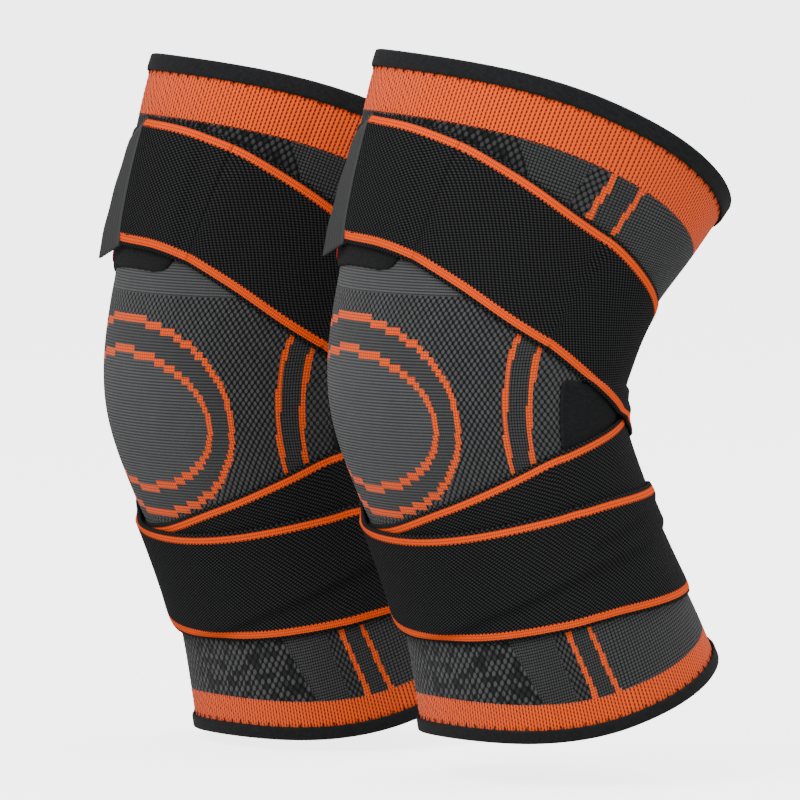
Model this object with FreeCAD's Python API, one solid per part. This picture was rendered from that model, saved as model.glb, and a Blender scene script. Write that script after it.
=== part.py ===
"""A pair of knitted knee sleeves, each with one long wrap-round elastic strap.

The two sleeves stand as they are worn, knees towards -Y and +Z up. The origin is
the flexion centre of the left knee, and the right sleeve is the same piece moved
along -X and a little down. Lengths are in millimetres and angles in degrees.

A place on a sleeve is given by three numbers. "height" is measured along the
leg's centreline from the knee, upwards. "turn" is the angle round the leg from
the kneecap towards +X. "out" is how far a face stands outside the knit.
"""
import FreeCAD, Part
import math
import os

# Driving dimensions: the pair
SLEEVE_SPACING = 189.0
SLEEVE_DROP = 14.4
SIDES = {"left": (0.0, 0.0, 0.0), "right": (-SLEEVE_SPACING, 0.0, -SLEEVE_DROP)}

# Driving dimensions: the leg that the sleeve is knitted to fit
KNEE_BEND_RADIUS = 80.0
THIGH_LEAN = 22.0
CALF_LEAN = 20.0
SQUARENESS = 0.94
# Half sizes of the knit's outside: height, to the side, to the front, to the back
STATIONS = [
    (-160, 58, 65, 70),
    (-120, 60, 55, 66),
    (-85, 60, 48.5, 60.5),
    (-55, 57, 49, 57.5),
    (-25, 57, 52, 57),
    (0, 58, 60, 60),
    (25, 58, 64.5, 60),
    (55, 59, 73, 61.5),
    (90, 64, 79, 73),
    (125, 69, 81.5, 83),
    (160, 73, 77, 89),
]

# Driving dimensions: the knitted tube
KNIT_THICKNESS = 2.6
TOP_RIM = (121.3, 6.9, -5.7)
BOTTOM_RIM = (-135.1, 5.2, 4.1)
KNEE_PANEL_HALF = 44.0
KNEE_PANEL_SLANT = 14.0

# Driving dimensions: the bindings sewn over the two rims
BINDING_CLOTH = 1.2
TOP_BINDING_WIDTH = 6.4
BOTTOM_BINDING_WIDTH = 4.6
GRIP_THICKNESS = 0.6
GRIP_HEIGHT = 7.0
GRIP_DROP = 5.0
STITCH_PITCH = 5.4
STITCH_LENGTH = 3.0
STITCH_THREAD = 0.35

# Driving dimensions: the strap and its patches
STRAP_WIDTH = 50.0
STRAP_THICKNESS = 1.8
PATCH_THICKNESS = 1.0
LAYER_GAP = 0.3
SEWN_GAP = 0.2
PATCH_GAP = 0.3
THREAD_GAP = 0.2
HOOK_MARGIN = 2.0
TAB_THICKNESS = 1.2
TAB_LENGTH_TOP = 12.0
TAB_LENGTH_BOTTOM = 20.0
TAB_DROP = 8.0
# Centreline of the strap from its sewn start: turn counted on past each full
# circle, height up the skin of the leg from the level of the knee's crease, and
# how far the strap's inner face stands outside the knit
STRAP_ROUTE = [
    (150, -30, 2.4),
    (131, -33, 2.2),
    (98, -41.5, 1.9),
    (73, -51, 0.4),
    (41, -63, 0.4),
    (0, -75.5, 0.4),
    (-50, -76, 0.4),
    (-100, -69, 0.4),
    (-150, -61, 0.4),
    (-172, -60.3, 0.4),
    (-190, -60, 1.6),
    (-205, -61.5, 4.6),
    (-256, -65.5, 4.6),
    (-282, -70.5, 2.6),
    (-333, -77.5, 2.6),
    (-374, -76.5, 2.6),
    (-400, -69, 2.6),
    (-440, -52, 2.6),
    (-470, -36.5, 2.6),
    (-500, -21, 2.6),
    (-540, -2, 2.8),
    (-560, 8, 4.6),
    (-575, 16, 4.6),
    (-595, 27, 4.6),
    (-615, 39.5, 4.6),
    (-640, 58, 0.4),
    (-660, 74, 0.4),
    (-674, 83.5, 1.2),
    (-685, 89.5, 2.9),
    (-703, 94.8, 2.9),
    (-724, 96.5, 2.9),
]
STRAP_TURNS = {
    "strap_lower": (150.0, -430.0),
    "strap_cross": (-430.0, -625.0),
    "strap_upper": (-625.0, -685.0),
    "strap_end": (-685.0, -724.0),
}
HINGE_GAP = 0.5
# Patches: turns and heights of their edges
ANCHOR_PATCH = (96.0, 165.0, -60.0, 14.0)
LOOP_PATCH = (-46.0, 24.0, 34.0, 92.0)
LABEL = (-36.0, -27.0, 37.0, 47.0)
LABEL_THICKNESS = 0.5

# How finely the curved faces are drawn
TURN_STEPS = 30
HEIGHT_STEPS = 18
WIDTH_STEPS = 12
STRAP_STEP_DEGREES = 7.5
MARCH_STEP = 2.5
SAME_DIRECTION = 1


def hermite(table, column, at):
    """Smooth value of one column of a table whose first column is the position."""
    places = [row[0] for row in table]
    rising = places[0] < places[-1]
    rows = table if rising else table[::-1]
    places = [row[0] for row in rows]
    values = [row[column] for row in rows]
    last = len(rows) - 1

    def slope(index):
        low = max(index - 1, 0)
        high = min(index + 1, last)
        return (values[high] - values[low]) / (places[high] - places[low])

    index = 0
    while index < last - 1 and at > places[index + 1]:
        index += 1
    span = places[index + 1] - places[index]
    t = (at - places[index]) / span
    rise = values[index + 1] - values[index]
    if t < 0:
        return values[index] + slope(index) * t * span
    if t > 1:
        return values[index + 1] + slope(index + 1) * (t - 1) * span
    start = slope(index) * span
    end = slope(index + 1) * span
    return values[index] + start * t + (3 * rise - 2 * start - end) * t ** 2 + (start + end - 2 * rise) * t ** 3


def centreline(height):
    """Sagittal place and lean (radians) of the leg's centreline."""
    thigh = math.radians(THIGH_LEAN)
    calf = math.radians(CALF_LEAN)
    lean = min(max(height / KNEE_BEND_RADIUS, -calf), thigh)
    straight = height - lean * KNEE_BEND_RADIUS
    back = KNEE_BEND_RADIUS * (1 - math.cos(lean)) + straight * math.sin(lean)
    up = KNEE_BEND_RADIUS * math.sin(lean) + straight * math.cos(lean)
    return back, up, lean


def power(value):
    return math.copysign(abs(value) ** SQUARENESS, value)


def section(height, turn, out):
    """Sideways and backward distances of a face from the centreline."""
    side = hermite(STATIONS, 1, height) + out
    front = hermite(STATIONS, 2, height) + out
    back = hermite(STATIONS, 3, height) + out
    angle = math.radians(turn)
    depth = back if math.cos(angle) < 0 else front
    return side * power(math.sin(angle)), -depth * power(math.cos(angle))


def place(height, turn, out):
    """Point in space of a height, turn and out."""
    sideways, backward = section(height, turn, out)
    back, up, lean = centreline(height)
    return FreeCAD.Vector(
        sideways,
        back + backward * math.cos(lean),
        up - backward * math.sin(lean),
    )


def rim(terms, turn):
    """Height of a rim: a mean, a tilt and a saddle."""
    angle = math.radians(turn)
    return terms[0] + terms[1] * math.cos(angle) + terms[2] * math.cos(2 * angle)


def knee_edge(turn):
    """Height of the seam between knee panel and thigh or calf, above the knee."""
    return KNEE_PANEL_HALF - KNEE_PANEL_SLANT * math.cos(math.radians(turn))


def curve(points):
    spline = Part.BSplineCurve()
    spline.interpolate(points)
    return spline


def surface(rows):
    spline = Part.BSplineSurface()
    spline.interpolate(rows)
    return spline


def closed_solid(faces):
    """Solid from faces that meet edge to edge."""
    shape = Part.Compound(faces)
    shape.sewShape()
    solid = Part.Solid(shape.Shells[0])
    if solid.Volume < 0:
        solid.reverse()
    return solid


def thick_panel(outer_rows, inner_rows):
    """Solid between two open faces, closed by straight edges all round."""
    outer = surface(outer_rows)
    inner = surface(inner_rows)
    faces = [outer.toShape(), inner.toShape()]
    u_low, u_high, v_low, v_high = outer.bounds()
    p_low, p_high, q_low, q_high = inner.bounds()
    pairs = [
        (outer.uIso(u_low), inner.uIso(p_low)),
        (outer.uIso(u_high), inner.uIso(p_high)),
        (outer.vIso(v_low), inner.vIso(q_low)),
        (outer.vIso(v_high), inner.vIso(q_high)),
    ]
    for outside, inside in pairs:
        faces.append(Part.makeRuledSurface(outside.toShape(), inside.toShape(), SAME_DIRECTION))
    return closed_solid(faces)


def half_turns(side):
    """Turns from the front to the back, round one side of the leg."""
    return [side * 180.0 * step / TURN_STEPS for step in range(TURN_STEPS + 1)]


def knit_tube(low_edge, high_edge):
    """Length of the knitted tube between two edges given as heights by turn."""
    faces = []
    for side in (1, -1):
        skins = []
        for out in (0.0, -KNIT_THICKNESS):
            rows = []
            for step in range(HEIGHT_STEPS + 1):
                share = step / HEIGHT_STEPS
                row = []
                for turn in half_turns(side):
                    height = low_edge(turn) * (1 - share) + high_edge(turn) * share
                    row.append(place(height, turn, out))
                rows.append(row)
            skins.append(surface(rows))
        faces += [skin.toShape() for skin in skins]
        outer, inner = skins
        for end in (0, 1):
            outside = outer.uIso(outer.bounds()[end])
            inside = inner.uIso(inner.bounds()[end])
            faces.append(Part.makeRuledSurface(outside.toShape(), inside.toShape(), SAME_DIRECTION))
    return closed_solid(faces)


def ring(profile, edge):
    """Band round the leg. Its profile's corners are (out, height above edge)."""
    faces = []
    for side in (1, -1):
        rails = []
        for out, above in profile:
            points = [place(edge(turn) + above, turn, out) for turn in half_turns(side)]
            rails.append(curve(points).toShape())
        for index, rail in enumerate(rails):
            faces.append(Part.makeRuledSurface(rails[index - 1], rail, SAME_DIRECTION))
    return closed_solid(faces)


def binding(edge, width, outward):
    """Elastic tape folded over a rim. outward is +1 at the top rim, -1 below."""
    cloth = BINDING_CLOTH
    outside = SEWN_GAP
    inside = -KNIT_THICKNESS - SEWN_GAP
    tip = SEWN_GAP * outward
    lip = (SEWN_GAP + cloth) * outward
    hem = -width * outward
    profile = [
        (outside, hem),
        (outside + cloth, hem),
        (outside + cloth, lip),
        (inside - cloth, lip),
        (inside - cloth, hem),
        (inside, hem),
        (inside, tip),
        (outside, tip),
    ]
    return ring(profile, edge)


def grip_strip(edge, drop):
    """Silicone band printed inside the tube, below a rim."""
    outer = -KNIT_THICKNESS - SEWN_GAP
    inner = outer - GRIP_THICKNESS
    low = drop - GRIP_HEIGHT / 2
    high = drop + GRIP_HEIGHT / 2
    profile = [(outer, low), (outer, high), (inner, high), (inner, low)]
    return ring(profile, edge)


def stitch(centre, along, outward):
    """One thread float lying on a face."""
    side = along.cross(outward).normalize()
    size = STITCH_THREAD
    box = Part.makeBox(STITCH_LENGTH, size, size, FreeCAD.Vector(-STITCH_LENGTH / 2, -size / 2, 0))
    frame = FreeCAD.Matrix(
        along.x, side.x, outward.x, centre.x,
        along.y, side.y, outward.y, centre.y,
        along.z, side.z, outward.z, centre.z,
        0, 0, 0, 1,
    )
    return box.transformGeometry(frame)


def face_frame(height, turn, out):
    """Point on a face with its unit directions up the leg, round it and outward."""
    step = 0.5
    centre = place(height, turn, out)
    upward = (place(height + step, turn, out) - place(height - step, turn, out)).normalize()
    around = (place(height, turn + step, out) - place(height, turn - step, out)).normalize()
    outward = around.cross(upward).normalize()
    return centre, upward, around, outward


def binding_stitches(edge, width, outward):
    """Overlock threads across the hem of a binding, evenly spaced round the leg."""
    out = SEWN_GAP + BINDING_CLOTH + SEWN_GAP / 2
    offset = -(width - STITCH_LENGTH / 2 - 0.5) * outward
    girth = 2 * math.pi * hermite(STATIONS, 1, edge(90))
    count = round(girth / STITCH_PITCH)
    floats = []
    for index in range(count):
        turn = 360.0 * index / count
        centre, upward, around, normal = face_frame(edge(turn) + offset, turn, out)
        floats.append(stitch(centre, upward, normal))
    return Part.Compound(floats)


def patch(edges, out, thickness):
    """Sewn-on patch between two turns and two heights."""
    first, last, low, high = edges
    columns = max(4, round(abs(last - first) / STRAP_STEP_DEGREES))
    sheets = []
    for face in (out + thickness, out):
        rows = []
        for row_index in range(WIDTH_STEPS + 1):
            height = low + (high - low) * row_index / WIDTH_STEPS
            turns = [first + (last - first) * index / columns for index in range(columns + 1)]
            rows.append([place(height, turn, face) for turn in turns])
        sheets.append(rows)
    return thick_panel(*sheets)


def seam(edges, out, margin, sides):
    """Running stitch just inside chosen edges of a patch."""
    first, last, low, high = edges
    floats = []
    pitch = STITCH_LENGTH * 1.6
    radius = hermite(STATIONS, 1, (low + high) / 2)
    inset = math.degrees(margin / radius)
    if "ends" in sides:
        count = int((high - low - 2 * margin) / pitch)
        for turn in (first + inset, last - inset):
            for index in range(count + 1):
                height = low + margin + (high - low - 2 * margin) * index / count
                centre, upward, around, normal = face_frame(height, turn, out)
                floats.append(stitch(centre, upward, normal))
    if "rails" in sides:
        count = int(math.radians(last - first) * radius / pitch)
        for height in (low + margin, high - margin):
            for index in range(1, count):
                turn = first + (last - first) * index / count
                centre, upward, around, normal = face_frame(height, turn, out)
                floats.append(stitch(centre, around, normal))
    return Part.Compound(floats)


def height_and_turn(point):
    """Height and turn of a point near the knit: the reverse of place()."""
    thigh = math.radians(THIGH_LEAN)
    calf = math.radians(CALF_LEAN)
    angle = math.atan2(point.z, KNEE_BEND_RADIUS - point.y)
    lean = min(max(angle, -calf), thigh)
    height = lean * KNEE_BEND_RADIUS
    back, up, _ = centreline(height)
    height += (point.y - back) * math.sin(lean) + (point.z - up) * math.cos(lean)
    back, up, _ = centreline(height)
    backward = (point.y - back) * math.cos(lean) - (point.z - up) * math.sin(lean)
    depth = hermite(STATIONS, 3 if backward > 0 else 2, height)
    across = math.copysign(abs(point.x / hermite(STATIONS, 1, height)) ** (1 / SQUARENESS), point.x)
    forward = math.copysign(abs(backward / depth) ** (1 / SQUARENESS), -backward)
    return height, math.degrees(math.atan2(across, forward))


def centreline_height(skin_height, turn):
    """Height on the centreline of a height measured up the skin from the knee's crease."""
    height = skin_height
    for _ in range(3):
        to_crease = KNEE_BEND_RADIUS - section(height, turn, 0.0)[1]
        thigh_start = math.radians(THIGH_LEAN) * to_crease
        calf_start = -math.radians(CALF_LEAN) * to_crease
        bent = min(max(skin_height, calf_start), thigh_start)
        height = bent / to_crease * KNEE_BEND_RADIUS + skin_height - bent
    return height


def route_point(route_turn):
    skin_height = hermite(STRAP_ROUTE, 1, route_turn)
    return place(centreline_height(skin_height, route_turn), route_turn, 0.0)


def strap_place(route_turn, across, out):
    """Point of the strap, `across` millimetres above its centreline along the knit."""
    step = 1.0
    point = route_point(route_turn)
    height, turn = height_and_turn(point)
    along = (route_point(route_turn + step) - route_point(route_turn - step)).normalize()
    outward = face_frame(height, turn, 0.0)[3]
    heading = outward.cross(along).normalize() * math.copysign(1.0, across)
    count = max(1, round(abs(across) / MARCH_STEP))
    for _ in range(count):
        point = point + heading * (abs(across) / count)
        height, turn = height_and_turn(point)
        point = place(height, turn, 0.0)
        outward = face_frame(height, turn, 0.0)[3]
        heading = (heading - outward * heading.dot(outward)).normalize()
    return place(height, turn, out)


def strap_length_of(start, end):
    """Solid of the strap between two turns of its route."""
    columns = max(4, round(abs(end - start) / STRAP_STEP_DEGREES))
    sheets = []
    for extra in (STRAP_THICKNESS, 0.0):
        rows = []
        for row_index in range(WIDTH_STEPS + 1):
            across = STRAP_WIDTH * (row_index / WIDTH_STEPS - 0.5)
            row = []
            for index in range(columns + 1):
                turn = start + (end - start) * index / columns
                lift = hermite(STRAP_ROUTE, 2, turn)
                row.append(strap_place(turn, across, lift + extra))
            rows.append(row)
        sheets.append(rows)
    return thick_panel(*sheets)


def hook_patch():
    """Hook half of the fastener, under the last of the strap."""
    start, end = STRAP_TURNS["strap_end"]
    start -= 8.0
    end += 1.0
    columns = 6
    half = STRAP_WIDTH / 2 - HOOK_MARGIN
    strap_out = hermite(STRAP_ROUTE, 2, end) - SEWN_GAP
    sheets = []
    for out in (strap_out, strap_out - PATCH_THICKNESS):
        rows = []
        for row_index in range(WIDTH_STEPS + 1):
            across = half * (2 * row_index / WIDTH_STEPS - 1)
            turns = [start + (end - start) * index / columns for index in range(columns + 1)]
            rows.append([strap_place(turn, across, out) for turn in turns])
        sheets.append(rows)
    return thick_panel(*sheets)


def grip_tab():
    """Stiff pull tab welded to the cut end of the strap, standing straight off it."""
    end = STRAP_TURNS["strap_end"][1]
    middle = hermite(STRAP_ROUTE, 2, end) + STRAP_THICKNESS / 2
    half = STRAP_WIDTH / 2
    sheets = []
    for out in (middle + TAB_THICKNESS / 2, middle - TAB_THICKNESS / 2):
        rows = []
        for across, length in ((-half, TAB_LENGTH_BOTTOM), (half, TAB_LENGTH_TOP)):
            root = strap_place(end, across, out)
            before = strap_place(end + 3.0, across, out)
            away = (root - before).normalize()
            start = root + away * SEWN_GAP
            tip = root + away * length + FreeCAD.Vector(0, 0, -TAB_DROP)
            rows.append([start + (tip - start) * (index / 3) for index in range(4)])
        low, high = rows
        sheets.append([[a + (b - a) * (index / 3) for a, b in zip(low, high)] for index in range(4)])
    return thick_panel(*sheets)


def tab_stitching():
    """Zigzag bar tack across the strap just before the tab."""
    end = STRAP_TURNS["strap_end"][1] + 2.5
    out = hermite(STRAP_ROUTE, 2, end) + STRAP_THICKNESS + THREAD_GAP + SEWN_GAP
    count = 13
    floats = []
    for index in range(count):
        across = (STRAP_WIDTH / 2 - 3.0) * (2 * index / (count - 1) - 1)
        centre = strap_place(end, across, out)
        upward = (strap_place(end, across + 1.0, out) - centre).normalize()
        around = (strap_place(end + 1.0, across, out) - centre).normalize()
        normal = around.cross(upward).normalize()
        around = upward.cross(normal).normalize()
        floats.append(stitch(centre, around, normal))
    return Part.Compound(floats)


def top_edge(turn):
    return rim(TOP_RIM, turn)


def bottom_edge(turn):
    return rim(BOTTOM_RIM, turn)


def calf_edge(turn):
    return -knee_edge(turn)


def knee_panel_top(turn):
    return knee_edge(turn) - LAYER_GAP


def strap_pieces():
    """The strap's four lengths, parted where its body changes."""
    pieces = {}
    for name, (start, end) in STRAP_TURNS.items():
        gap = math.degrees(HINGE_GAP / STATIONS[-1][1])
        if name in ("strap_cross", "strap_upper"):
            end += gap
        pieces[name] = strap_length_of(start, end)
    return pieces


def sleeve_pieces():
    """Every piece of one sleeve, by its plain name."""
    sewn_out = PATCH_GAP + PATCH_THICKNESS + THREAD_GAP
    pieces = {
        "thigh_knit": knit_tube(knee_edge, top_edge),
        "knee_knit": knit_tube(calf_edge, knee_panel_top),
        "calf_knit": knit_tube(bottom_edge, calf_edge),
        "top_binding": binding(top_edge, TOP_BINDING_WIDTH, 1),
        "bottom_binding": binding(bottom_edge, BOTTOM_BINDING_WIDTH, -1),
        "top_binding_stitches": binding_stitches(top_edge, TOP_BINDING_WIDTH, 1),
        "bottom_binding_stitches": binding_stitches(bottom_edge, BOTTOM_BINDING_WIDTH, -1),
        "top_grip_strip": grip_strip(top_edge, -TOP_BINDING_WIDTH - GRIP_DROP - GRIP_HEIGHT / 2),
        "bottom_grip_strip": grip_strip(bottom_edge, BOTTOM_BINDING_WIDTH + GRIP_DROP),
        "anchor_patch": patch(ANCHOR_PATCH, PATCH_GAP, PATCH_THICKNESS),
        "anchor_stitching": seam(ANCHOR_PATCH, sewn_out, 2.0, ("ends",)),
        "loop_patch": patch(LOOP_PATCH, PATCH_GAP, PATCH_THICKNESS),
        "loop_patch_stitching": seam(LOOP_PATCH, SEWN_GAP, -1.5, ("ends", "rails")),
        "hook_patch": hook_patch(),
        "grip_tab": grip_tab(),
        "tab_stitching": tab_stitching(),
        "blank_label": patch(LABEL, sewn_out + THREAD_GAP, LABEL_THICKNESS),
    }
    pieces.update(strap_pieces())
    return pieces


def report(name, shape):
    valid = shape.isValid() and all(solid.isClosed() for solid in shape.Solids)
    print(f"{name}: {len(shape.Solids)} solids, {shape.Volume:.0f} mm3, valid {valid}")


os.makedirs("parts", exist_ok=True)
SLEEVE = sleeve_pieces()
for piece_name, piece in SLEEVE.items():
    report(piece_name, piece)
for side_name, shift in SIDES.items():
    for piece_name, piece in SLEEVE.items():
        placed = piece.copy()
        placed.translate(FreeCAD.Vector(*shift))
        placed.exportStep(f"parts/{side_name}_{piece_name}.step")
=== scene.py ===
"""A pair of knitted knee sleeves, each with one long elastic strap wrapped round it.

The sleeves stand as they are worn, knees towards -Y. Shapes are worked out in
millimetres on the leg: "height" runs up its centreline from the knee, "turn" goes
round it from the kneecap towards +X in degrees, and "out" stands off the knit.
"""

import math

import bpy
import numpy as np
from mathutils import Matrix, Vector


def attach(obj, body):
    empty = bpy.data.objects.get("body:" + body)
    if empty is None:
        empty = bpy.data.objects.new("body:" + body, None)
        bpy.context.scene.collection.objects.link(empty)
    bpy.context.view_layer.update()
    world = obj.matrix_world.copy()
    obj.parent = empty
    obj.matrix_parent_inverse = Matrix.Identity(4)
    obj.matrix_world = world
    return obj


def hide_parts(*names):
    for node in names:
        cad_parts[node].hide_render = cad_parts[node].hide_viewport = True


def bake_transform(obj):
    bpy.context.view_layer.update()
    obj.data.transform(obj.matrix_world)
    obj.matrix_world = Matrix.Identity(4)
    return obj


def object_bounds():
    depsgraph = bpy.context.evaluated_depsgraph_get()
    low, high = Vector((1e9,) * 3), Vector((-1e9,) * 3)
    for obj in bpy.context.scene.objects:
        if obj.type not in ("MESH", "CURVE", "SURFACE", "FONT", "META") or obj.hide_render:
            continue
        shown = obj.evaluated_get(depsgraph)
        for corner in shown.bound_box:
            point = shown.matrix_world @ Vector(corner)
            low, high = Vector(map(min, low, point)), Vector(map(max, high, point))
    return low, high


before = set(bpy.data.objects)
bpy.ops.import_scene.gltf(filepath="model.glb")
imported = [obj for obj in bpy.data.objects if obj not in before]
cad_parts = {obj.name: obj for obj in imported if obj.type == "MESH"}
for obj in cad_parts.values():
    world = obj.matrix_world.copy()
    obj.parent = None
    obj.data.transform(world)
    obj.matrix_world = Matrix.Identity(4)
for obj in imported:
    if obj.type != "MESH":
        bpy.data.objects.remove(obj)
CAD_LOW, CAD_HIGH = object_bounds()


# Knitted sleeves. Each is one tube of thick elastic knit with no side seam, shaped
# on a flat-bed machine. The kneecap, the side channels and the pebbled grip areas
# are different stitches of the same cloth, and the orange is a second yarn.
METRES = 0.001
# Places of the two knees; the far one is held a little lower
SIDES = {"left": np.array([0.0, 0.0, 0.0]), "right": np.array([-189.0, 0.0, -14.4])}
KNEE_BEND_RADIUS = 80.0
THIGH_LEAN = math.radians(22)
CALF_LEAN = math.radians(20)
SQUARENESS = 0.94
# Half sizes of the leg: height, to the side, to the front, to the back
STATIONS = [
    (-160, 58, 65, 70),
    (-120, 60, 55, 66),
    (-85, 60, 48.5, 60.5),
    (-55, 57, 49, 57.5),
    (-25, 57, 52, 57),
    (0, 58, 60, 60),
    (25, 58, 64.5, 60),
    (55, 59, 73, 61.5),
    (90, 64, 79, 73),
    (125, 69, 81.5, 83),
    (160, 73, 77, 89),
]
KNIT_THICKNESS = 2.6
TOP_RIM = (121.3, 6.9, -5.7)
BOTTOM_RIM = (-135.1, 5.2, 4.1)


def smooth_column(table, column, at):
    """Smooth value of one column of a table whose first column is the position."""
    rows = np.array(sorted(table), float)
    places = rows[:, 0]
    values = rows[:, column]
    slopes = np.gradient(values, places)
    slopes[1:-1] = (values[2:] - values[:-2]) / (places[2:] - places[:-2])
    at = np.asarray(at, float)
    held = np.clip(at, places[0], places[-1])
    index = np.clip(np.searchsorted(places, held, side="right") - 1, 0, len(places) - 2)
    span = places[index + 1] - places[index]
    t = (held - places[index]) / span
    rise = values[index + 1] - values[index]
    start = slopes[index] * span
    end = slopes[index + 1] * span
    bend = (3 * rise - 2 * start - end) * t**2 + (start + end - 2 * rise) * t**3
    return values[index] + start * t + bend + (at - held) * np.where(at < held, slopes[0], slopes[-1])


def centreline(height):
    """Sagittal place and lean of the leg's centreline."""
    lean = np.clip(height / KNEE_BEND_RADIUS, -CALF_LEAN, THIGH_LEAN)
    straight = height - lean * KNEE_BEND_RADIUS
    back = KNEE_BEND_RADIUS * (1 - np.cos(lean)) + straight * np.sin(lean)
    up = KNEE_BEND_RADIUS * np.sin(lean) + straight * np.cos(lean)
    return back, up, lean


def section(height, turn, out):
    """Sideways and backward distances of a face from the centreline."""
    cosine = np.cos(np.radians(turn))
    sine = np.sin(np.radians(turn))
    side = smooth_column(STATIONS, 1, height) + out
    front = smooth_column(STATIONS, 2, height) + out
    back = smooth_column(STATIONS, 3, height) + out
    depth = np.where(cosine < 0, back, front)
    sideways = side * np.sign(sine) * np.abs(sine) ** SQUARENESS
    return sideways, -depth * np.sign(cosine) * np.abs(cosine) ** SQUARENESS


def leg_point(height, turn, out):
    """Points in space of heights, turns and outs."""
    height, turn, out = np.broadcast_arrays(height, turn, out)
    sideways, backward = section(height, turn, out)
    back, up, lean = centreline(height)
    across = back + backward * np.cos(lean)
    return np.stack((sideways, across, up - backward * np.sin(lean)), axis=-1)


def rim(terms, turn):
    """Height of a rim: a mean, a tilt and a saddle."""
    angle = np.radians(turn)
    return terms[0] + terms[1] * np.cos(angle) + terms[2] * np.cos(2 * angle)


def skin_height(height, turn):
    """Height measured up the skin, which is longer over a bent knee than behind it."""
    to_crease = KNEE_BEND_RADIUS - section(height, turn, 0.0)[1]
    lean = np.clip(height / KNEE_BEND_RADIUS, -CALF_LEAN, THIGH_LEAN)
    return lean * to_crease + height - lean * KNEE_BEND_RADIUS


def smooth_step(low, high, value):
    """0 at low and 1 at high, smooth between. low may be the greater."""
    share = np.clip((value - low) / (high - low), 0, 1)
    return share * share * (3 - 2 * share)


def cloth_object(name, points, faces, charts):
    """New object from points in millimetres and faces. charts hold a place for every face corner."""
    mesh = bpy.data.meshes.new(name)
    mesh.from_pydata((points * METRES).tolist(), [], faces.tolist())
    for chart, places in charts.items():
        layer = mesh.uv_layers.new(name=chart)
        layer.data.foreach_set("uv", places.ravel())
    mesh.shade_smooth()
    piece = bpy.data.objects.new(name, mesh)
    bpy.context.scene.collection.objects.link(piece)
    return piece


def slab(name, outer, inner, charts, wraps):
    """Closed cloth mesh between two grids of points. charts are its named texture grids.

    A grid that wraps has its first column again as its last, for the texture only.
    """
    rows, columns = outer.shape[:2]
    kept = columns - 1 if wraps else columns
    points = np.concatenate((outer[:, :kept].reshape(-1, 3), inner[:, :kept].reshape(-1, 3)))
    row, column = np.meshgrid(np.arange(rows - 1), np.arange(columns - 1), indexing="ij")
    row = row.ravel()
    column = column.ravel()
    corners = [(row, column), (row, column + 1), (row + 1, column + 1), (row + 1, column)]
    faces = [(corners, (0, 0, 0, 0)), (corners[::-1], (1, 1, 1, 1))]
    along = np.arange(columns - 1)
    for end, order in ((0, 1), (rows - 1, -1)):
        edge = [(np.full_like(along, end), along), (np.full_like(along, end), along + 1)]
        edge = edge[::order]
        faces.append((edge[::-1] + edge, (0, 0, 1, 1)))
    if not wraps:
        up = np.arange(rows - 1)
        for end, order in ((0, 1), (columns - 1, -1)):
            edge = [(up, np.full_like(up, end)), (up + 1, np.full_like(up, end))]
            edge = edge[::order]
            faces.append((edge + edge[::-1], (0, 0, 1, 1)))
    loops = []
    picks = []
    for places, layers in faces:
        corner_points = zip(places, layers)
        loops.append(np.stack([(layer * rows + r) * kept + c % kept for (r, c), layer in corner_points], 1))
        picks.append(np.stack([r * columns + c for r, c in places], 1))
    picks = np.concatenate(picks).ravel()
    corner_charts = {chart: grid.reshape(-1, 2)[picks] for chart, grid in charts.items()}
    return cloth_object(name, points, np.concatenate(loops), corner_charts)


class Wire:
    """One output of a shader node. Wires add, multiply and compare as numbers do."""

    def __init__(self, tree, socket=None):
        self.tree = tree
        self.socket = socket

    def node(self, kind, settings=None, inputs=None, output=0):
        """A wire from a new node, whose inputs are wires or constants."""
        made = self.tree.nodes.new(kind)
        for name, value in (settings or {}).items():
            setattr(made, name, value)
        for key, value in (inputs or {}).items():
            if isinstance(value, Wire):
                self.tree.links.new(value.socket, made.inputs[key])
            else:
                made.inputs[key].default_value = value
        return Wire(self.tree, made.outputs[output])

    def math(self, operation, *values):
        return self.node("ShaderNodeMath", {"operation": operation}, dict(enumerate(values)))

    def __add__(self, other):
        return self.math("ADD", self, other)

    __radd__ = __add__

    def __sub__(self, other):
        return self.math("SUBTRACT", self, other)

    def __rsub__(self, other):
        return self.math("SUBTRACT", other, self)

    def __mul__(self, other):
        return self.math("MULTIPLY", self, other)

    __rmul__ = __mul__

    def __truediv__(self, other):
        return self.math("DIVIDE", self, other)

    def __rtruediv__(self, other):
        return self.math("DIVIDE", other, self)

    def __pow__(self, other):
        return self.math("POWER", self, other)

    def __abs__(self):
        return self.math("ABSOLUTE", self)

    def __lt__(self, other):
        return self.math("LESS_THAN", self, other)

    def __gt__(self, other):
        return self.math("GREATER_THAN", self, other)

    def floor(self):
        return self.math("FLOOR", self)

    def fraction(self):
        return self.math("FRACT", self)

    def sine(self):
        return self.math("SINE", self)

    def at_least(self, other):
        return self.math("MAXIMUM", self, other)

    def at_most(self, other):
        return self.math("MINIMUM", self, other)

    def ramp(self, low, high):
        """0 below low and 1 above high, smooth between."""
        limits = {0: self, 1: low, 2: high}
        return self.node("ShaderNodeMapRange", {"interpolation_type": "SMOOTHSTEP"}, limits)

    def choose(self, first, second):
        """first where this wire is 0, second where it is 1."""
        return first + (second - first) * self

    def tint(self, first, second):
        """Colour first where this wire is 0, second where it is 1."""
        return self.node("ShaderNodeMix", {"data_type": "RGBA"}, {0: self, 6: first, 7: second}, 2)


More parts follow.
